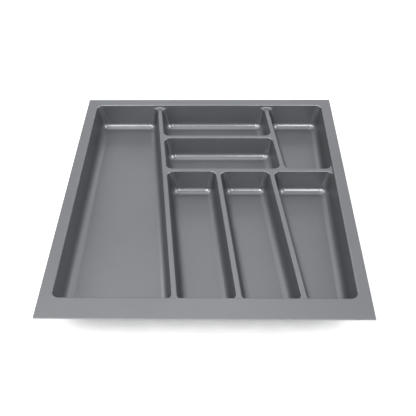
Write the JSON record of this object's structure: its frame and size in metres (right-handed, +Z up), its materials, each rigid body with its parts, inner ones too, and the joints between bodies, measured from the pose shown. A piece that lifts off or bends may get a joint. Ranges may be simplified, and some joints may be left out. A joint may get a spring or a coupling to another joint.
{
  "type": "cutlery tray",
  "caption": "Formed plastic drawer insert for cutlery: a flat rim round deep rounded bins, with a long utensil bin at the left, slanted dividers and crosswise bins at the rear.",
  "frame": {"origin": "centre of the tray's outline, on the plane that the undersides of the bins rest on", "axes": "+X to the right seen from the drawer's front, +Y to the drawer's rear, +Z up out of the bins"},
  "size_m": [0.44, 0.49, 0.046],
  "materials": {
    "grey_plastic": "satin grey formed sheet"
  },
  "bodies": {
    "root": {"rim": "grey_plastic", "left_bin": "grey_plastic", "rear_middle_bin": "grey_plastic", "second_middle_bin": "grey_plastic", "rear_right_bin": "grey_plastic", "front_left_bin": "grey_plastic", "front_middle_bin": "grey_plastic", "front_right_bin": "grey_plastic", "long_divider": "grey_plastic", "rear_cross_divider": "grey_plastic", "front_cross_divider": "grey_plastic", "rear_right_divider": "grey_plastic", "front_inner_divider": "grey_plastic", "front_outer_divider": "grey_plastic"}
  },
  "joints": []
}
